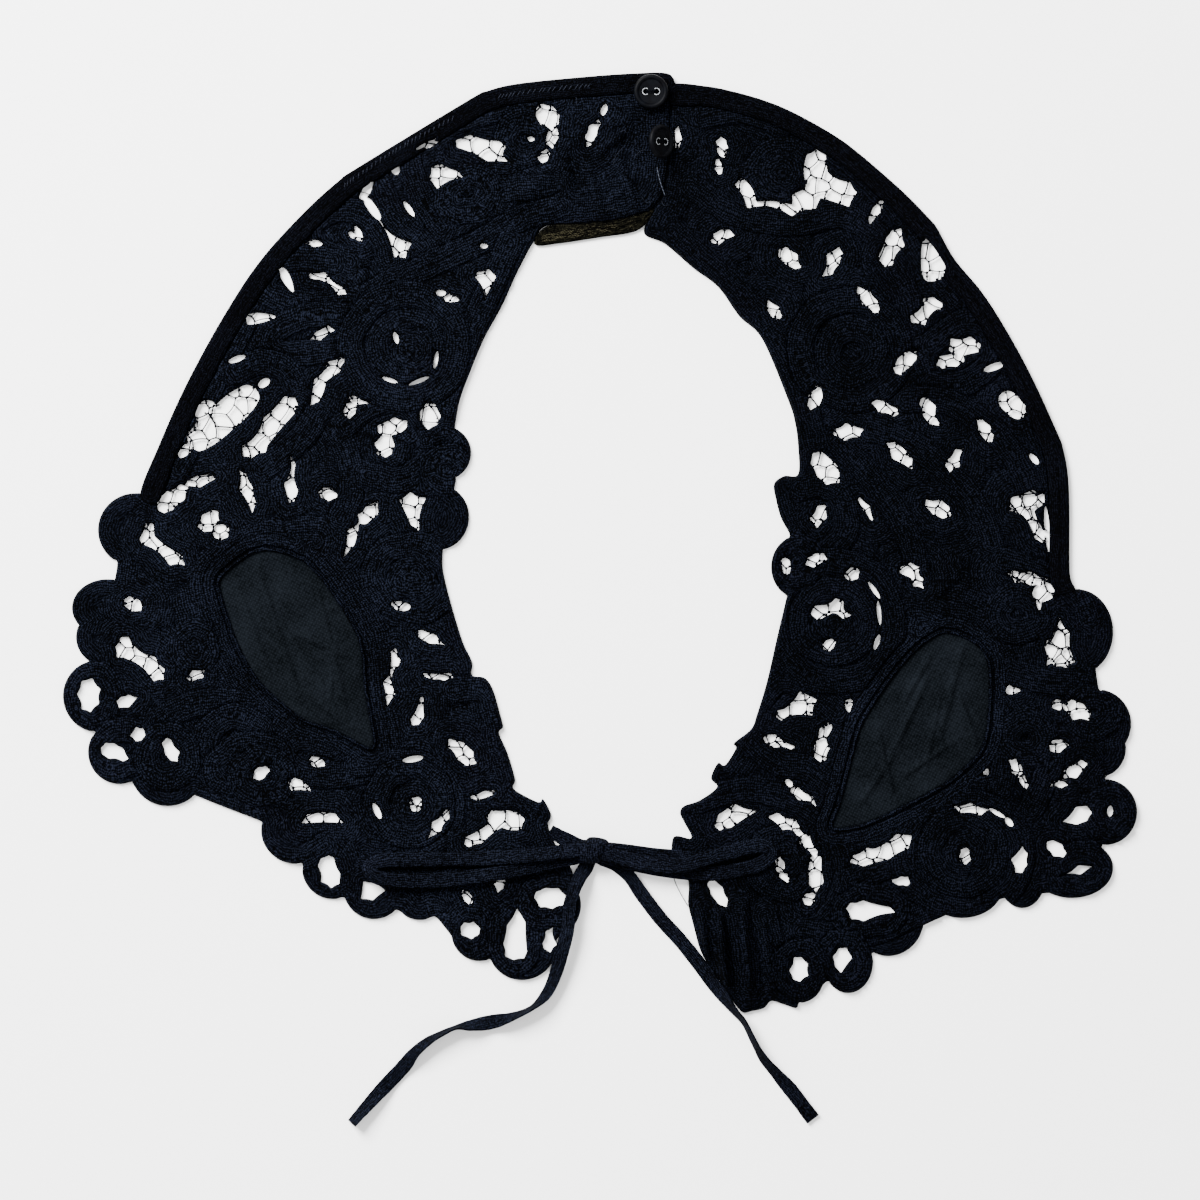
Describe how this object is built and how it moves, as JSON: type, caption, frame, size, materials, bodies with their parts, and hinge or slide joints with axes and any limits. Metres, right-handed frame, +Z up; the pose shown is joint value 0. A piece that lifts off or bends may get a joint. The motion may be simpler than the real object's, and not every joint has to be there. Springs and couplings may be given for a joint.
{
  "type": "tape lace false collar",
  "caption": "False collar of dark tape lace laid flat, with scalloped fronts, cut-through gaps, two linen leaves, a back button closing and a narrow front tie.",
  "frame": {"origin": "middle of the collar's outline, ties not counted, on the surface that it lies on", "axes": "+X to the right and +Y to the back of the neck as seen from above, +Z up from the surface"},
  "size_m": [0.3866, 0.3788, 0.0103],
  "materials": {
    "lace": "matte",
    "tape": "matte",
    "linen": "matte",
    "turned": "matte",
    "tie": "matte",
    "button": "satin"
  },
  "bodies": {
    "root": {"lace_left": "lace", "lace_right": "lace", "edge_tape_left": "tape", "edge_tape_right": "tape", "leaf_frame_left": "tape", "leaf_frame_right": "tape", "leaf_left": "linen", "leaf_right": "linen", "turned_neck_tape": "turned", "tie_lead_left": "tie", "tie_lead_right": "tie", "tie_loop_left": "tie", "tie_loop_right": "tie", "tie_tail_left": "tie", "tie_tail_right": "tie", "tie_knot": "tie", "button_upper": "button", "button_lower": "button"}
  },
  "joints": []
}
